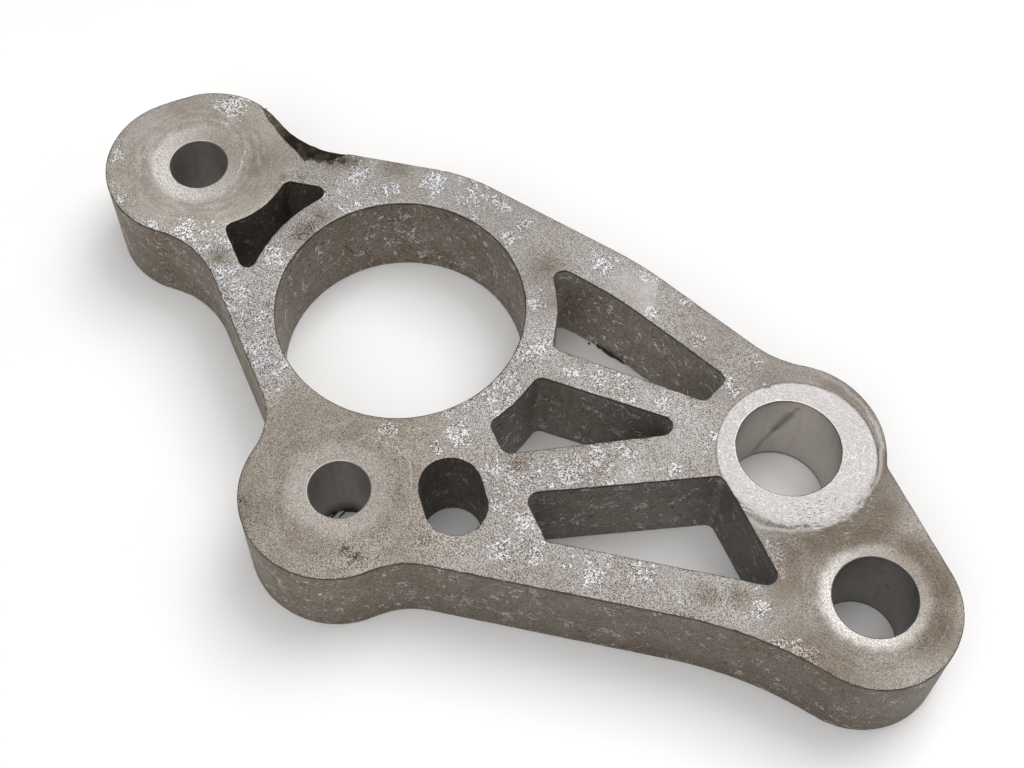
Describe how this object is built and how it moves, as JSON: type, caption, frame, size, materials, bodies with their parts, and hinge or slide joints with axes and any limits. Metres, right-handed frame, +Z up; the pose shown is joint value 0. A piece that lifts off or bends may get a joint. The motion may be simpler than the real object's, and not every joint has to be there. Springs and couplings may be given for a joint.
{
  "type": "engine mounting bracket",
  "caption": "Thick faced aluminium plate with a large round bore, bosses with bolt holes at its corners and triangular windows between ribs.",
  "frame": {"origin": "axis of the main bore at the underside, which the part lies on", "axes": "+Z up out of the top face along the main bore, +X from bolt hole A at the narrow end to bolt hole D at the wide end"},
  "size_m": [0.2203, 0.1058, 0.025],
  "materials": {
    "cast_aluminium": "matte worn cast and faced aluminium, grimy on the walls"
  },
  "bodies": {
    "root": {"bracket": "cast_aluminium"}
  },
  "joints": []
}
